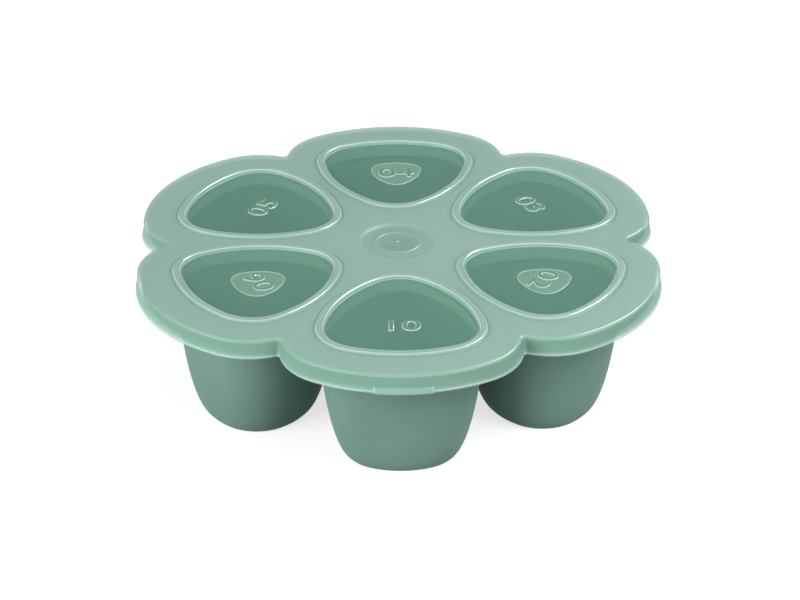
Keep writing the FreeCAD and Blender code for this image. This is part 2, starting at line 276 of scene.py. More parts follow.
def ring_plan():
    """Outer edge of the window ring on the +X axis."""
    half = STEP / 2.0
    tip = (RING_OUTER - RING_TIP_RADIUS, 0.0)
    apex = (RING_INNER + RING_APEX_RADIUS, 0.0)
    off_web = RING_FLANK_RADIUS + WEB_WIDTH / 2.0
    along = apex[0] * math.cos(half) + math.sqrt(
        (RING_FLANK_RADIUS - RING_APEX_RADIUS) ** 2 - (off_web - apex[0] * math.sin(half)) ** 2)
    flank = (along * math.cos(half) + off_web * math.sin(half),
             along * math.sin(half) - off_web * math.cos(half))
    corner = circle_crossing(tip, RING_TIP_RADIUS - RING_CORNER_RADIUS,
                             flank, RING_FLANK_RADIUS - RING_CORNER_RADIUS)
    tip_end = bearing(tip, corner)
    corner_end = bearing(flank, corner)
    flank_end = bearing(flank, apex)
    full = 2.0 * math.pi
    return [
        Arc(tip[0], 0.0, RING_TIP_RADIUS, 1, -tip_end, tip_end),
        Arc(corner[0], corner[1], RING_CORNER_RADIUS, 1, tip_end, corner_end),
        Arc(flank[0], flank[1], RING_FLANK_RADIUS, 1, corner_end, flank_end),
        Arc(apex[0], 0.0, RING_APEX_RADIUS, 1, flank_end, full - flank_end),
        Arc(flank[0], -flank[1], RING_FLANK_RADIUS, 1, full - flank_end, full - corner_end),
        Arc(corner[0], -corner[1], RING_CORNER_RADIUS, 1, full - corner_end, full - tip_end),
    ]


def lobed_plan():
    """The lobed outline at the lid's top edge."""
    half = STEP / 2.0
    tip = (LOBE_REACH - LOBE_TIP_RADIUS, 0.0)
    normal = (math.cos(LOBE_TIP_TURN), math.sin(LOBE_TIP_TURN))
    tip_end = point_at(tip, LOBE_TIP_RADIUS, LOBE_TIP_TURN)
    notch = point_at((0.0, 0.0), LOBE_REACH - NOTCH_DEPTH + NOTCH_RADIUS, half)
    gap = (tip_end[0] - notch[0], tip_end[1] - notch[1])
    gap_along = gap[0] * normal[0] + gap[1] * normal[1]
    gap_square = gap[0] ** 2 + gap[1] ** 2
    shoulder_radius = (gap_square - NOTCH_RADIUS ** 2) / (2.0 * (gap_along + NOTCH_RADIUS))
    shoulder = point_at(tip_end, -shoulder_radius, LOBE_TIP_TURN)
    shoulder_end = bearing(shoulder, notch)
    touch_near = bearing(notch, shoulder) + 2.0 * math.pi
    touch_far = 2.0 * (half + math.pi) - touch_near
    lobe = [
        Arc(shoulder[0], -shoulder[1], shoulder_radius, 1, -shoulder_end, -LOBE_TIP_TURN),
        Arc(tip[0], 0.0, LOBE_TIP_RADIUS, 1, -LOBE_TIP_TURN, LOBE_TIP_TURN),
        Arc(shoulder[0], shoulder[1], shoulder_radius, 1, LOBE_TIP_TURN, shoulder_end),
        # The notch is concave: its bearings run backwards, as the outline does.
        Arc(notch[0], notch[1], NOTCH_RADIUS, -1, touch_near, touch_far),
    ]
    return [turned(arc, FRONT + index * STEP) for index in range(CUP_COUNT) for arc in lobe]


def circle_plan():
    """A circle of no radius about the axis, so that an offset is a radius."""
    return [Arc(0.0, 0.0, 0.0, 1, 0.0, 2.0 * math.pi)]


def turned(arc, angle):
    """The arc turned about the tray's axis."""
    x, y = point_at((0.0, 0.0), math.hypot(arc.x, arc.y), math.atan2(arc.y, arc.x) + angle)
    return Arc(x, y, arc.radius, arc.side, arc.first + angle, arc.last + angle)


def around(plan):
    """The plan once for each cup."""
    return [[turned(arc, FRONT + index * STEP) for arc in plan] for index in range(CUP_COUNT)]


def cup_plan(depth):
    """The cup's plan at a depth under its mouth: nearer to a circle and further out."""
    part_way = max(depth, 0.0) / TRAY_HEIGHT
    keep = 1.0 - BASE_ROUNDNESS * part_way
    return [Arc(CUP_CENTRE + keep * (arc.x - CUP_CENTRE) + BASE_SHIFT * part_way, keep * arc.y,
                keep * arc.radius + (1.0 - keep) * CUP_MEAN_RADIUS - CUP_INSET, arc.side, arc.first, arc.last)
            for arc in ring_plan()]


# ---- Profiles: points of (outward offset, height, milkiness) ----
def rounded(corners):
    """The profile through a list of corners, each with its radius rounded off.

    Milkiness is how much lighter than the flat deck the translucent plastic is painted. Raised edges are
    painted lighter, a painted highlight for the light that runs inside the plastic. Below 0 are thin places,
    and lines and faces painted darker and greener, as painted shade and as the tray's green shining in from
    behind. A sharp corner has its milkiness. A round has it half-way, and it fades towards both ends, to 0
    or, at the far end, to the value called settled.
    """
    points = []
    for before, corner, after in zip([None] + corners, corners, corners[1:] + [None]):
        place = Vector(corner[:2])
        if before is None or after is None or corner.radius == 0.0:
            points.append((*place, corner.milk))
            continue
        back = (Vector(before[:2]) - place).normalized()
        ahead = (Vector(after[:2]) - place).normalized()
        half = back.angle(ahead) / 2.0
        reach = min(corner.radius / math.tan(half), (Vector(before[:2]) - place).length * LONGEST_ROUND,
                    (Vector(after[:2]) - place).length * LONGEST_ROUND)
        middle = (back + ahead).normalized()
        centre = place + middle * (reach / math.cos(half))
        spoke = place + back * reach - centre
        turn = spoke.angle_signed(place + ahead * reach - centre)
        for index in range(ROUND_STEPS + 1):
            done = index / ROUND_STEPS
            part = Matrix.Rotation(-turn * done, 2) @ spoke
            milk = corner.milk * math.sin(math.pi * done) + corner.settled * done
            points.append((*(centre + part), milk))
    return points


def wall_inset(depth):
    """How far the drafted cup wall has come in at a depth, with the roll into the floor."""
    rolled = min(max((depth - TRAY_HEIGHT + ROLL_HEIGHT) / ROLL_HEIGHT, 0.0), 1.0)
    return depth * math.tan(CUP_DRAFT) + ROLL_RUN * (1.0 - math.sqrt(1.0 - rolled ** 2))


def cup_depths(first, last):
    """Depths of a cup wall's loops, closer together where the wall rolls in."""
    turns = [math.pi / 2.0 * index / ROLL_STEPS for index in range(ROLL_STEPS + 1)]
    return [first + (last - first) * math.sin(turn) for turn in turns]


# ---- Skins ----
def close_up(mesh, weld=0.0):
    """Welds points that lie nearer together than a distance, if any, and turns all faces outwards."""
    work = bmesh.new()
    work.from_mesh(mesh)
    if weld:
        bmesh.ops.remove_doubles(work, verts=work.verts, dist=weld)
    bmesh.ops.recalc_face_normals(work, faces=work.faces)
    work.to_mesh(mesh)
    work.free()


class Skin:
    """A closed surface made of loops, bands between loops, and flat fields that close it."""

    def __init__(self):
        self.points = []
        self.milk = []
        self.faces = []
        self.slots = []

    def point(self, x, y, z, milk=0.0):
        """Adds a point and returns its number."""
        self.points.append((x, y, z))
        self.milk.append(milk)
        return len(self.points) - 1

    def loop(self, plan, offset, z, milk=0.0):
        """Adds the points of a plan at an offset and a height, and returns their numbers."""
        numbers = []
        for arc in plan:
            turn = arc.last - arc.first
            count = max(POINTS_PER_ARC, round(abs(turn) / (2.0 * math.pi) * POINTS_PER_TURN))
            for index in range(count):
                angle = arc.first + turn * index / count
                x, y = point_at((arc.x, arc.y), arc.radius + arc.side * offset, angle)
                numbers.append(self.point(x, y, z, milk))
        return numbers

    def band(self, lower, upper, slot):
        """Joins two loops of the same plan with quads."""
        for index in range(len(lower)):
            after = (index + 1) % len(lower)
            self.faces.append((lower[index], lower[after], upper[after], upper[index]))
            self.slots.append(slot)

    def sweep(self, plan, profile, slot):
        """Bands along a profile of (offset, height, milkiness). Returns the first and the last loop."""
        loops = [self.loop(plan, *point) for point in profile]
        for lower, upper in zip(loops, loops[1:]):
            self.band(lower, upper, slot)
        return loops[0], loops[-1]

    def field(self, outer, holes, slot):
        """Fills a flat area between an outer loop and the loops of its holes."""
        numbers = [number for loop in [outer] + holes for number in loop]
        outlines = [[Vector(self.points[number]) for number in loop] for loop in [outer] + holes]
        for corners in tessellate_polygon(outlines):
            self.faces.append(tuple(numbers[corner] for corner in corners))
            self.slots.append(slot)

    def mesh(self, name, materials, body, replaced, slot_name):
        """The skin as a mesh object on a body. It stands for the CAD node called replaced, if any."""
        data = bpy.data.meshes.new(name)
        data.from_pydata([tuple(value * MM for value in point) for point in self.points], [], self.faces)
        for material in materials:
            data.materials.append(material)
        data.polygons.foreach_set("material_index", self.slots)
        data.attributes.new("milkiness_and_painted_light", "FLOAT", "POINT").data.foreach_set("value", self.milk)
        close_up(data)
        data.shade_smooth()
        data.set_sharp_from_angle(angle=SHARP_ANGLE)
        piece = bpy.data.objects.new(name, data)
        bpy.context.scene.collection.objects.link(piece)
        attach(piece, body)
        if replaced:
            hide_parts(replaced)
        return piece


def lid_skin():
    """Deck with its flared skirt, window rings, panes, sealing walls and the dish."""
    skin = Skin()
    inside = SKIRT_FLARE - SKIRT_WALL
    lean = SKIRT_FLARE / (LID_TOP - LID_FOOT)
    bead_top = LID_FOOT + FOOT_BEAD_HEIGHT
    deck_outer, under_outer = skin.sweep(lobed_plan(), rounded([
        Corner(-DECK_STRIP, LID_TOP),
        Corner(0.0, LID_TOP, LID_EDGE_ROUND, LID_EDGE_PAINTED_HIGHLIGHT, LID_EDGE_PAINTED_SHADE),
        Corner(SKIRT_FLARE * FACE_TOP_FLARE - FOOT_BEAD_STEP, LID_TOP - FACE_TOP_DROP, milk=SKIRT_DENSITY_AND_PAINTED_SHADE),
        Corner(SKIRT_FLARE * FACE_FOOT_FLARE - FOOT_BEAD_STEP, bead_top + FACE_FOOT_RISE, milk=SKIRT_DENSITY_AND_PAINTED_SHADE),
        Corner(SKIRT_FLARE - FOOT_BEAD_STEP, bead_top + FOOT_BEAD_STEP, FOOT_BEAD_HOLLOW),
        Corner(SKIRT_FLARE, bead_top, FOOT_BEAD_ROUND, FOOT_BEAD_PAINTED_HIGHLIGHT),
        Corner(SKIRT_FLARE, LID_FOOT, FOOT_BEAD_ROUND, FOOT_BEAD_PAINTED_HIGHLIGHT),
        Corner(inside, LID_FOOT, FOOT_ROUND, FOOT_PAINTED_HIGHLIGHT),
        Corner(inside - (UNDERSIDE - LID_FOOT) * lean, UNDERSIDE, FOOT_ROUND),
        Corner(-DECK_STRIP, UNDERSIDE),
    ]), FROSTED)

    dish_outer = dish(skin)
    deck_holes = []
    under_holes = []
    for plan in around(ring_plan()):
        ring_outer, ring_inner = skin.sweep(plan, ring_profile(), FROSTED)
        deck_holes.append(ring_outer)
        skin.field(ring_inner, [], CLEAR)
    for plan in around(cup_plan(PLUG_DEPTH / 2.0)):
        plug_outer, plug_inner = skin.sweep(plan, plug_profile(), FROSTED)
        under_holes.append(plug_outer)
        skin.field(plug_inner, [], PANE_BACK)
    skin.field(deck_outer, deck_holes + [dish_outer], FROSTED)
    skin.field(under_outer, under_holes, FROSTED)
    return skin


def dish(skin):
    """Adds the shallow dish with its bead and gate mark. Returns the loop around it on the deck."""
    floor = LID_TOP - DISH_DEPTH
    raised = floor + DISH_BEAD_HEIGHT
    dish_outer, dish_centre = skin.sweep(circle_plan(), rounded([
        Corner(DISH_RADIUS + EDGE_STRIP, LID_TOP),
        Corner(DISH_RADIUS, LID_TOP, DISH_BROW_ROUND, DISH_BROW_PAINTED_HIGHLIGHT),
        Corner(DISH_RADIUS - DISH_SLOPE, floor, DISH_FOOT_ROUND, DISH_LINE_PAINTED_SHADE),
        Corner(DISH_BEAD_RADIUS + DISH_BEAD_WIDTH / 2.0, floor, milk=DISH_MILK),
        Corner(DISH_BEAD_RADIUS + DISH_BEAD_WIDTH / 4.0, raised, DISH_BEAD_ROUND, DISH_BEAD_PAINTED_HIGHLIGHT),
        Corner(DISH_BEAD_RADIUS - DISH_BEAD_WIDTH / 4.0, raised, DISH_BEAD_ROUND, DISH_BEAD_PAINTED_HIGHLIGHT),
        Corner(DISH_BEAD_RADIUS - DISH_BEAD_WIDTH / 2.0, floor, milk=DISH_MILK),
        Corner(GATE_RADIUS + GATE_SURROUND, floor, milk=DISH_MILK),
        Corner(GATE_RADIUS, floor, milk=DISH_LINE_PAINTED_SHADE),
        Corner(GATE_RADIUS - GATE_SLOPE, raised, milk=GATE_PAINTED_HIGHLIGHT),
        Corner(GATE_MIDDLE, raised, milk=GATE_PAINTED_HIGHLIGHT),
    ]), FROSTED)
    skin.field(dish_centre, [], FROSTED)
    return dish_outer


def ring_profile():
    """Section of a window ring, from the deck around it to the pane inside it."""
    pane_top = LID_TOP - PANE_SINK
    return rounded([
        Corner(EDGE_STRIP, LID_TOP),
        Corner(RING_LINE_OUTER, LID_TOP, milk=RING_LINE_PAINTED_SHADE),
        Corner(RING_LINE_INNER, LID_TOP, milk=RING_LINE_PAINTED_SHADE),
        Corner(0.0, LID_TOP, RING_FOOT_ROUND),
        Corner(-RING_SHOULDER_INSET, LID_TOP + RING_SHOULDER_RISE, RING_SHOULDER_ROUND, RING_SHOULDER_PAINTED_HIGHLIGHT),
        Corner(-RING_CREST_INSET, LID_CREST, RING_CREST_ROUND, RING_CREST_PAINTED_HIGHLIGHT),
        Corner(-RING_WIDTH + RING_BROW_INSET, LID_CREST - RING_BROW_DROP, RING_BROW_ROUND, RING_BROW_PAINTED_HIGHLIGHT),
        Corner(-RING_WIDTH, pane_top, PANE_ROUND),
        Corner(-RING_WIDTH - PANE_STRIP, pane_top),
    ])


def plug_profile():
    """Section of a sealing wall, from the underside around it to the back of the pane."""
    foot = TRAY_HEIGHT - PLUG_DEPTH
    outside = CUP_WALL + PLUG_GAP
    within = outside + PLUG_WALL
    return rounded([
        Corner(-outside + PLUG_STRIP, UNDERSIDE),
        Corner(-outside, UNDERSIDE, PLUG_ROOT_ROUND),
        Corner(-outside - wall_inset(PLUG_DEPTH), foot, PLUG_FOOT_ROUND),
        Corner(-within - wall_inset(PLUG_DEPTH), foot),
        Corner(-within, UNDERSIDE - PLUG_CHAMFER, milk=PLUG_PAINTED_LIGHT),
        Corner(-within - PLUG_CHAMFER, UNDERSIDE),
        Corner(-within - PLUG_INNER_STRIP, UNDERSIDE),
    ])


def lip_skin():
    """Low ledge along the foot of the front skirt, with rounded ends."""
    skin = Skin()
    half_turn = math.asin(LIP_WIDTH / 2.0 / LOBE_TIP_RADIUS)
    tip = point_at((0.0, 0.0), LOBE_REACH - LOBE_TIP_RADIUS, FRONT)
    lip_top = LID_FOOT + LIP_HEIGHT
    skirt_there = SKIRT_FLARE - LIP_HEIGHT * (SKIRT_FLARE / (LID_TOP - LID_FOOT))
    root = -SKIRT_WALL / 2.0
    loops = []
    for index in range(LIP_STATIONS + 1):
        from_end = min(index, LIP_STATIONS - index, LIP_END_STATIONS)
        swell = math.sin(from_end / LIP_END_STATIONS * math.pi / 2.0)
        angle = FRONT + half_turn * (2.0 * index / LIP_STATIONS - 1.0)
        section = rounded([
            Corner(SKIRT_FLARE + root, LID_FOOT),
            Corner(SKIRT_FLARE + LIP_REACH * swell, LID_FOOT, FOOT_BEAD_ROUND, LIP_FOOT_PAINTED_HIGHLIGHT),
            Corner(SKIRT_FLARE + (LIP_REACH - LIP_LEAN) * swell, LID_FOOT + FOOT_BEAD_HEIGHT, milk=LIP_PAINTED_LIGHT),
            Corner(skirt_there + (LIP_LEDGE + LIP_BROW_STEP) * swell, lip_top - LIP_BROW_DROP, milk=LIP_PAINTED_LIGHT),
            Corner(skirt_there + LIP_LEDGE * swell, lip_top, milk=LIP_PAINTED_LIGHT),
            Corner(skirt_there + root, lip_top),
        ])
        # This painted highlight is 0 at the tip of an end and along the middle, and whole half-way between.
        painted_end_highlight = LIP_END_PAINTED_HIGHLIGHT * 4.0 * swell * (1.0 - swell)
        loop = []
        for offset, z, lip_painted_light in section:
            x, y = point_at(tip, LOBE_TIP_RADIUS + offset, angle)
            loop.append(skin.point(x, y, z, SKIRT_DENSITY_AND_PAINTED_SHADE + lip_painted_light + painted_end_highlight))
        loops.append(loop)
    for lower, upper in zip(loops, loops[1:]):
        skin.band(lower, upper, FROSTED)
    for loop in (loops[0], loops[-1]):
        skin.faces.append(tuple(loop))
        skin.slots.append(FROSTED)
    return skin


def plate_skin():
    """Rounded three-cornered plates on every second pane, for the numerals."""
    skin = Skin()
    low = LID_TOP - PANE_SINK - PLATE_SINK
    top = LID_TOP - PANE_SINK + PLATE_RISE
    plan = [Arc(MARK_CENTRE + PLATE_SCALE * (arc.x - CUP_CENTRE), PLATE_SCALE * arc.y,
                PLATE_SCALE * arc.radius, arc.side, arc.first, arc.last) for arc in ring_plan()]
    for index in PLATED:
        shift_x, shift_y = MARK_SHIFTS[index]
        placed = [arc._replace(x=arc.x + shift_x, y=arc.y + shift_y) for arc in around(plan)[index]]
        bottom, crown = skin.sweep(placed, rounded([
            Corner(-EDGE_STRIP, low),
            Corner(0.0, low),
            Corner(0.0, top, PLATE_EDGE_ROUND, PLATE_EDGE_PAINTED_HIGHLIGHT),
            Corner(-PLATE_EDGE, top, PLATE_EDGE_ROUND, PLATE_EDGE_PAINTED_HIGHLIGHT),
            Corner(-PLATE_EDGE, top - PLATE_HOLLOW, PLATE_HOLLOW_ROUND),
            Corner(-PLATE_EDGE - PLATE_STRIP, top - PLATE_HOLLOW, milk=PLATE_MILK),
        ]), FROSTED)
        skin.field(bottom, [], PANE_BACK)
        skin.field(crown, [], FROSTED)
    return skin


def numeral_slot(normal):
    """Material slot of a numeral's face: clear on top, frosted on the flanks."""
    if normal.z > LEVEL:
        return CLEAR
    if normal.z < -LEVEL:
        return PANE_BACK
    return FROSTED


def numeral(index, materials):
    """The cup's number, raised on its pane or plate, with its top outwards and frosted flanks."""
    data = bpy.data.curves.new("numeral", "FONT")
    data.body = "%02d" % (index + 1)
    data.size = NUMERAL_HEIGHT / DIGIT_SHARE * MM
    data.align_x = "CENTER"
    data.align_y = "CENTER"
    data.extrude = (NUMERAL_RISE - NUMERAL_BEVEL) * MM
    data.bevel_depth = NUMERAL_BEVEL * MM
    data.bevel_resolution = NUMERAL_BEVEL_STEPS
    text = bpy.data.objects.new("numeral", data)
    mesh = bpy.data.meshes.new_from_object(text)
    bpy.data.objects.remove(text)
    close_up(mesh, WELD * MM)
    angle = FRONT + index * STEP
    x, y = point_at(MARK_SHIFTS[index], MARK_CENTRE, angle)
    plate = PLATE_RISE - PLATE_HOLLOW if index in PLATED else 0.0
    place = Vector((x, y, LID_TOP - PANE_SINK + plate)) * MM
    mesh.transform(Matrix.Translation(place) @ Matrix.Rotation(angle - math.pi / 2.0, 4, "Z")
                   @ Matrix.Diagonal((NUMERAL_WIDENING, 1.0, 1.0, 1.0)))
    mesh.materials.clear()
    for material in materials:
        mesh.materials.append(material)
    for face in mesh.polygons:
        face.material_index = numeral_slot(face.normal)
    milk = [NUMERAL_PAINTED_HIGHLIGHT] * len(mesh.vertices)
    mesh.attributes.new("milkiness_and_painted_light", "FLOAT", "POINT").data.foreach_set("value", milk)
    piece = bpy.data.objects.new("numeral_%d" % (index + 1), mesh)
    bpy.context.scene.collection.objects.link(piece)
    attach(piece, "lid")


def cup_wall(skin, index, inset, depths):
    """Adds one cup's wall from its mouth down, with its flat floor. Returns the loop at the mouth."""
    loops = []
    for depth in depths:
        plan = around(cup_plan(depth))[index]
        loops.append(skin.loop(plan, -inset - wall_inset(depth), TRAY_HEIGHT - depth))
    for upper, lower in zip(loops, loops[1:]):
        skin.band(upper, lower, SILICONE)
    skin.field(loops[-1], [], SILICONE)
    return loops[0]


def tray_skin():
    """Deck with its thick rim and the six cups."""
    skin = Skin()
    rim = TRAY_REACH - LOBE_REACH
    rim_base = TRAY_HEIGHT - RIM_DEPTH
    deck_base = TRAY_HEIGHT - TRAY_DECK
    deck_outer, under_outer = skin.sweep(lobed_plan(), rounded([
        Corner(rim - RIM_STRIP, TRAY_HEIGHT),
        Corner(rim, TRAY_HEIGHT, RIM_ROUND),
        Corner(rim, rim_base, RIM_ROUND),
        Corner(rim - RIM_WIDTH, rim_base, RIM_ROUND),
        Corner(rim - RIM_WIDTH, deck_base, RIM_ROUND),
        Corner(rim - RIM_WIDTH - RIM_INNER_STRIP, deck_base),
    ]), SILICONE)
    deck_holes = []
    under_holes = []
    for index in range(CUP_COUNT):
        mouth = cup_wall(skin, index, CUP_WALL, cup_depths(MOUTH_ROUND, TRAY_HEIGHT - CUP_FLOOR))
        brim_plan = around(cup_plan(0.0))[index]
        brim_top, brim_foot = skin.sweep(brim_plan, [
            (-CUP_WALL + MOUTH_ROUND * out, TRAY_HEIGHT - MOUTH_ROUND * down) for out, down in ROUND_POINTS
        ], SILICONE)
        skin.band(brim_foot, mouth, SILICONE)
        deck_holes.append(brim_top)
        neck = cup_wall(skin, index, 0.0, cup_depths(TRAY_DECK + NECK_ROUND, TRAY_HEIGHT))
        neck_plan = around(cup_plan(TRAY_DECK))[index]
        wall = -wall_inset(TRAY_DECK)
        neck_top, neck_foot = skin.sweep(neck_plan, [
            (wall + NECK_ROUND * out, deck_base - NECK_ROUND * down) for out, down in ROUND_POINTS
        ], SILICONE)
        skin.band(neck_foot, neck, SILICONE)
        under_holes.append(neck_top)
    skin.field(deck_outer, deck_holes, SILICONE)
    skin.field(under_outer, under_holes, SILICONE)
    return skin


# ---- Materials: tones are linear red, green and blue, and grain depths are in metres ----
SILICONE_DARK = (0.136, 0.238, 0.199)
SILICONE_LIGHT = (0.150, 0.256, 0.214)
SILICONE_ROUGHNESS = 0.55
SILICONE_GLOSS = 0.04         # hardly any: the photographed silicone is matte
SILICONE_GRAIN = 0.000015
# The frosted plastic at milkiness -1, 0 and 1: -1 is for thin places and painted shade, 1 for painted
# highlights. The fourth value is how dense it looks.
THIN_AND_PAINTED_SHADE_TONE = (0.17, 0.325, 0.25, 0.85)
DECK_TONE = (0.38, 0.595, 0.505, 0.5)
PAINTED_HIGHLIGHT_TONE = (0.60, 0.71, 0.65, 0.85)
CLOUDINESS = 0.04             # how far the milkiness wanders up and down over a face
FROSTED_TINT = (0.93, 0.97, 0.95, 1.0)
FROSTED_GRAIN = 0.00003
FROSTED_IOR = 1.45
POLISH_RANGE = (0.25, 0.5)    # milkiness over which the gloss goes from the deck's to an edge's
DECK_ROUGHNESS = 0.26
EDGE_ROUGHNESS = 0.12
# The most that frosted plastic mirrors: little where it is thin, more on the deck, all on milky edges.
THIN_MIRRORED = (0.1, 0.1, 0.1, 1.0)
DECK_MIRRORED = (0.4, 0.4, 0.4, 1.0)
DECK_STOPS = (0.5, 0.62)      # places on the ramp, where milkiness -1 is 0 and 1 is 1
EDGE_STOP = 0.75
CLEAR_TINT = (0.90, 0.985, 0.955, 1.0)
CLEAR_HAZE = (0.18, 0.376, 0.286, 1.0)
HAZE_SHARE = 0.55
CLEAR_ROUGHNESS = 0.2
CLEAR_WAVES = 0.00002
CLEAR_IOR = 1.22
CLEAR_LEAST = 0.06            # a pane mirrors nothing below this share, so it stays see-through from above
CLEAR_MOST = 0.5
PAPER_GREY = (0.5, 0.5, 0.5, 1.0)
FLOOR_LIFT = 0.72             # glow that brings the unshadowed floor to white in the picture
WORLD_LIGHT = 0.16            # how strongly the white background lights the object


def new_material(name):
    """A material with an empty tree. Returns it with its nodes, links and output."""
    material = bpy.data.materials.new(name)
    material.use_nodes = True
    nodes = material.node_tree.nodes
    nodes.clear()
    return material, nodes, material.node_tree.links, nodes.new("ShaderNodeOutputMaterial")


def noise(nodes, links, scale, detail=4.0):
    """Noise over the object's own coordinates, with features about 1/scale metres across."""
    place = nodes.new("ShaderNodeTexCoord")
    texture = nodes.new("ShaderNodeTexNoise")
    texture.inputs["Scale"].default_value = scale
    texture.inputs["Detail"].default_value = detail
    links.new(place.outputs["Object"], texture.inputs["Vector"])
    return texture


def tinted(nodes, links, texture, low, high):
    """A colour that varies between two close tones with a texture, over the texture's middle values."""
    ramp = nodes.new("ShaderNodeValToRGB")
    ramp.color_ramp.elements[0].position = 0.35
    ramp.color_ramp.elements[1].position = 0.65
    ramp.color_ramp.elements[0].color = (*low, 1.0)
    ramp.color_ramp.elements[1].color = (*high, 1.0)
    links.new(texture.outputs["Fac"], ramp.inputs["Fac"])
    return ramp.outputs["Color"]


def bumped(nodes, links, texture, depth):
    """A bump of a depth in metres."""
    bump = nodes.new("ShaderNodeBump")
    bump.inputs["Strength"].default_value = 1.0
    bump.inputs["Distance"].default_value = depth
    links.new(texture.outputs["Fac"], bump.inputs["Height"])
    return bump.outputs["Normal"]


def silicone():
    """Matte sage-green silicone with faint cloudiness and a fine moulded grain."""
    material, nodes, links, output = new_material("silicone_sage")
    shader = nodes.new("ShaderNodeBsdfPrincipled")
    cloud = noise(nodes, links, scale=35.0)
    grain = noise(nodes, links, scale=2600.0, detail=2.0)
    links.new(tinted(nodes, links, cloud, SILICONE_DARK, SILICONE_LIGHT), shader.inputs["Base Color"])
    links.new(bumped(nodes, links, grain, SILICONE_GRAIN), shader.inputs["Normal"])
    shader.inputs["Roughness"].default_value = SILICONE_ROUGHNESS
    shader.inputs["Specular IOR Level"].default_value = SILICONE_GLOSS
    links.new(shader.outputs["BSDF"], output.inputs["Surface"])
    return material


def frosted_plastic():
    """Milky translucent plastic under a surface gloss, denser and more polished along its edges, with painted
    highlights on edges and painted shade in lines.
    """
    material, nodes, links, output = new_material("lid_frosted")
    grain = noise(nodes, links, scale=1800.0, detail=2.0)
    milkiness_and_painted_light = nodes.new("ShaderNodeAttribute")
    milkiness_and_painted_light.attribute_name = "milkiness_and_painted_light"
    cloud = nodes.new("ShaderNodeMapRange")
    cloud.inputs["To Min"].default_value = -CLOUDINESS
    cloud.inputs["To Max"].default_value = CLOUDINESS
    links.new(noise(nodes, links, scale=25.0).outputs["Fac"], cloud.inputs["Value"])
    level = nodes.new("ShaderNodeMath")
    level.operation = "ADD"
    links.new(milkiness_and_painted_light.outputs["Fac"], level.inputs[0])
    links.new(cloud.outputs["Result"], level.inputs[1])
    # Milkiness from -1 to 1 as a place from 0 to 1 on the ramps below.
    place = nodes.new("ShaderNodeMapRange")
    place.inputs["From Min"].default_value = -1.0
    links.new(level.outputs["Value"], place.inputs["Value"])

    tones = nodes.new("ShaderNodeValToRGB")
    middle = tones.color_ramp.elements.new(0.5)
    tones.color_ramp.elements[0].color = THIN_AND_PAINTED_SHADE_TONE
    middle.color = DECK_TONE
    tones.color_ramp.elements[2].color = PAINTED_HIGHLIGHT_TONE
    links.new(place.outputs["Result"], tones.inputs["Fac"])
    milk = nodes.new("ShaderNodeBsdfDiffuse")
    links.new(tones.outputs["Color"], milk.inputs["Color"])
    through = nodes.new("ShaderNodeBsdfTransparent")
    through.inputs["Color"].default_value = FROSTED_TINT
    body = nodes.new("ShaderNodeMixShader")
    links.new(tones.outputs["Alpha"], body.inputs["Fac"])
    links.new(through.outputs["BSDF"], body.inputs[1])
    links.new(milk.outputs["BSDF"], body.inputs[2])

    gloss = nodes.new("ShaderNodeBsdfGlossy")
    links.new(bumped(nodes, links, grain, FROSTED_GRAIN), gloss.inputs["Normal"])
    polish = nodes.new("ShaderNodeMapRange")
    polish.inputs["From Min"].default_value = POLISH_RANGE[0]
    polish.inputs["From Max"].default_value = POLISH_RANGE[1]
    polish.inputs["To Min"].default_value = DECK_ROUGHNESS
    polish.inputs["To Max"].default_value = EDGE_ROUGHNESS
    links.new(milkiness_and_painted_light.outputs["Fac"], polish.inputs["Value"])
    links.new(polish.outputs["Result"], gloss.inputs["Roughness"])
    share = glossy_outside(nodes, links, body, gloss, FROSTED_IOR, 0.0, output)
    mirror = nodes.new("ShaderNodeValToRGB")
    links.new(place.outputs["Result"], mirror.inputs["Fac"])
    mirror.color_ramp.elements[0].color = THIN_MIRRORED
    for position in DECK_STOPS:
        mirror.color_ramp.elements.new(position).color = DECK_MIRRORED
    mirror.color_ramp.elements[3].position = EDGE_STOP
    links.new(mirror.outputs["Color"], share.inputs["To Max"])
    return material


def glossy_outside(nodes, links, body, gloss, ior, least, output):
    """Lays a gloss over a body's outer side, from the mirrored share called least on up.

    The inner side of a wall mirrors nothing. Returns the node that scales the mirrored share.
    """
    grazing = nodes.new("ShaderNodeFresnel")
    grazing.inputs["IOR"].default_value = ior
    share = nodes.new("ShaderNodeMapRange")
    share.inputs["From Min"].default_value = least
    links.new(grazing.outputs["Fac"], share.inputs["Value"])
    surface = nodes.new("ShaderNodeMixShader")
    links.new(share.outputs["Result"], surface.inputs["Fac"])
    links.new(body.outputs["Shader"], surface.inputs[1])
    links.new(gloss.outputs["BSDF"], surface.inputs[2])
    side = nodes.new("ShaderNodeNewGeometry")
    mix = nodes.new("ShaderNodeMixShader")
    links.new(side.outputs["Backfacing"], mix.inputs["Fac"])
    links.new(surface.outputs["Shader"], mix.inputs[1])
    links.new(body.outputs["Shader"], mix.inputs[2])
    links.new(mix.outputs["Shader"], output.inputs["Surface"])
    return share


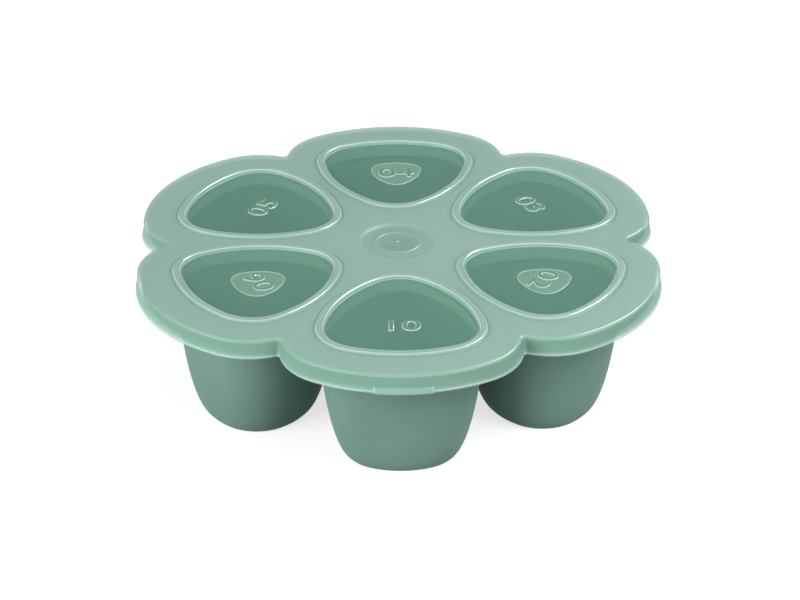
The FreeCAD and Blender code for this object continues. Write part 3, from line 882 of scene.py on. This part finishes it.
def clear_plastic():
    """Thin polished plastic of the panes: see-through with a slight haze, and gloss at grazing angles."""
    material, nodes, links, output = new_material("lid_clear")
    waves = noise(nodes, links, scale=90.0)
    through = nodes.new("ShaderNodeBsdfTransparent")
    through.inputs["Color"].default_value = CLEAR_TINT
    haze = nodes.new("ShaderNodeBsdfDiffuse")
    haze.inputs["Color"].default_value = CLEAR_HAZE
    body = nodes.new("ShaderNodeMixShader")
    body.inputs["Fac"].default_value = HAZE_SHARE
    links.new(through.outputs["BSDF"], body.inputs[1])
    links.new(haze.outputs["BSDF"], body.inputs[2])
    gloss = nodes.new("ShaderNodeBsdfGlossy")
    gloss.inputs["Roughness"].default_value = CLEAR_ROUGHNESS
    links.new(bumped(nodes, links, waves, CLEAR_WAVES), gloss.inputs["Normal"])
    share = glossy_outside(nodes, links, body, gloss, CLEAR_IOR, CLEAR_LEAST, output)
    share.inputs["To Max"].default_value = CLEAR_MOST
    return material


def pane_back():
    """Lower faces of panes, plates and numerals, which only let light by: the upper face has the haze."""
    material, nodes, links, output = new_material("lid_pane_back")
    through = nodes.new("ShaderNodeBsdfTransparent")
    links.new(through.outputs["BSDF"], output.inputs["Surface"])
    return material


def seen_directly(nodes, links):
    """1 for a ray that shows the background: from the camera, a mirror or through glass. 0 for the rest."""
    rays = nodes.new("ShaderNodeLightPath")
    either = rays.outputs["Is Camera Ray"]
    for name in ("Is Glossy Ray", "Is Transmission Ray"):
        larger = nodes.new("ShaderNodeMath")
        larger.operation = "MAXIMUM"
        links.new(either, larger.inputs[0])
        links.new(rays.outputs[name], larger.inputs[1])
        either = larger.outputs["Value"]
    return either


def studio_white():
    """Pale floor that shows as white where no shadow falls."""
    material, nodes, links, output = new_material("studio_white")
    paper = nodes.new("ShaderNodeBsdfDiffuse")
    paper.inputs["Color"].default_value = PAPER_GREY
    glow = nodes.new("ShaderNodeEmission")
    glow.inputs["Color"].default_value = (1.0, 1.0, 1.0, 1.0)
    lift = nodes.new("ShaderNodeMath")
    lift.operation = "MULTIPLY"
    lift.inputs[1].default_value = FLOOR_LIFT
    links.new(seen_directly(nodes, links), lift.inputs[0])
    links.new(lift.outputs["Value"], glow.inputs["Strength"])
    both = nodes.new("ShaderNodeAddShader")
    links.new(paper.outputs["BSDF"], both.inputs[0])
    links.new(glow.outputs["Emission"], both.inputs[1])
    links.new(both.outputs["Shader"], output.inputs["Surface"])
    return material


# ---- Studio ----
# A square softbox: its place and side in metres, its power in watts, and whether it lights surfaces
# and shows in their gloss.
Lamp = collections.namedtuple("Lamp", "name place size power lights_surfaces mirrored", defaults=(True, True))
LAMPS = (
    Lamp("key_left", (-1.35, -0.9, 0.55), 1.3, 35.0),
    Lamp("low_front", (-0.55, -1.5, 0.15), 0.5, 2.2, mirrored=False),
    Lamp("fill_right", (1.4, -0.7, 0.5), 1.0, 8.5),
    Lamp("side_right", (0.66, 0.72, 1.1), 0.6, 4.0),
    Lamp("top_right", (0.5, -0.45, 0.7), 0.4, 5.0),
    Lamp("back_fill", (0.2, 1.5, 0.45), 1.2, 7.0, mirrored=False),
    Lamp("highlight_card", (0.66, 0.62, 1.1), 0.6, 54.0, lights_surfaces=False),
)
LAMP_TARGET = Vector((0.0, 0.0, 0.04))
FLOOR_HALF = 1.3              # half the side of the square floor, in metres


def area_light(lamp):
    """Adds a lamp that faces the object."""
    data = bpy.data.lights.new(lamp.name, "AREA")
    data.shape = "SQUARE"
    data.size = lamp.size
    data.energy = lamp.power
    light = bpy.data.objects.new(lamp.name, data)
    light.location = lamp.place
    light.rotation_euler = (LAMP_TARGET - Vector(lamp.place)).to_track_quat("-Z", "Y").to_euler()
    light.visible_diffuse = lamp.lights_surfaces
    light.visible_glossy = lamp.mirrored
    bpy.context.scene.collection.objects.link(light)


def studio():
    """White floor and world, and the lamps: from the left, low in front, from the right and the back."""
    scene = bpy.context.scene
    scene.view_settings.view_transform = "Standard"
    corners = [(-1, -1), (1, -1), (1, 1), (-1, 1)]
    data = bpy.data.meshes.new("floor")
    data.from_pydata([(x * FLOOR_HALF, y * FLOOR_HALF, 0.0) for x, y in corners], [], [(0, 1, 2, 3)])
    data.materials.append(studio_white())
    floor = bpy.data.objects.new("floor", data)
    scene.collection.objects.link(floor)

    world = bpy.data.worlds.new("studio")
    world.use_nodes = True
    nodes = world.node_tree.nodes
    links = world.node_tree.links
    background = nodes["Background"]
    level = nodes.new("ShaderNodeMapRange")
    level.inputs["To Min"].default_value = WORLD_LIGHT
    level.inputs["To Max"].default_value = 1.0
    links.new(seen_directly(nodes, links), level.inputs["Value"])
    links.new(level.outputs["Result"], background.inputs["Strength"])
    background.inputs["Color"].default_value = (1.0, 1.0, 1.0, 1.0)
    scene.world = world

    for lamp in LAMPS:
        area_light(lamp)


def camera():
    """The photograph's view: from the front, 27 degrees above the horizon."""
    elevation = math.radians(27.15)
    swing = math.radians(1.07)
    distance = 1.2796
    focal_pixels = 2975.7
    image_width = 800.0
    centre_right = -2.15          # where the lid's centre falls, in pixels from the image's centre
    centre_up = 59.55
    lid_centre = Vector((0.0, 0.0, LID_TOP * MM))
    out = Vector((-math.sin(swing) * math.cos(elevation), -math.cos(swing) * math.cos(elevation),
                  math.sin(elevation)))
    data = bpy.data.cameras.new("camera")
    data.sensor_width = 36.0
    data.lens = focal_pixels / image_width * data.sensor_width
    view = bpy.data.objects.new("camera", data)
    facing = (-out).to_track_quat("-Z", "Y").to_matrix()
    right, up = facing.col[0], facing.col[1]
    aim = lid_centre - (right * centre_right + up * centre_up) * (distance / focal_pixels)
    view.location = lid_centre + out * distance
    view.rotation_euler = (aim - view.location).to_track_quat("-Z", "Y").to_euler()
    bpy.context.scene.collection.objects.link(view)
    bpy.context.scene.camera = view


# ---- The object ----
silicone_sage = silicone()
lid_frosted = frosted_plastic()
lid_clear = clear_plastic()
lid_pane_back = pane_back()
tray_skin().mesh("tray_moulding", [silicone_sage], "tray", "tray", "tray_silicone")
lid_skin().mesh("lid_moulding", [lid_frosted, lid_clear, lid_pane_back], "lid", "lid", "lid_plastic")
lip_skin().mesh("thumb_lip", [lid_frosted], "lid", None, "lid_plastic")
plate_skin().mesh("pane_plates", [lid_frosted, lid_clear, lid_pane_back], "lid", None, "lid_plastic")
for number in range(CUP_COUNT):
    numeral(number, [lid_frosted, lid_clear, lid_pane_back])
studio()
camera()
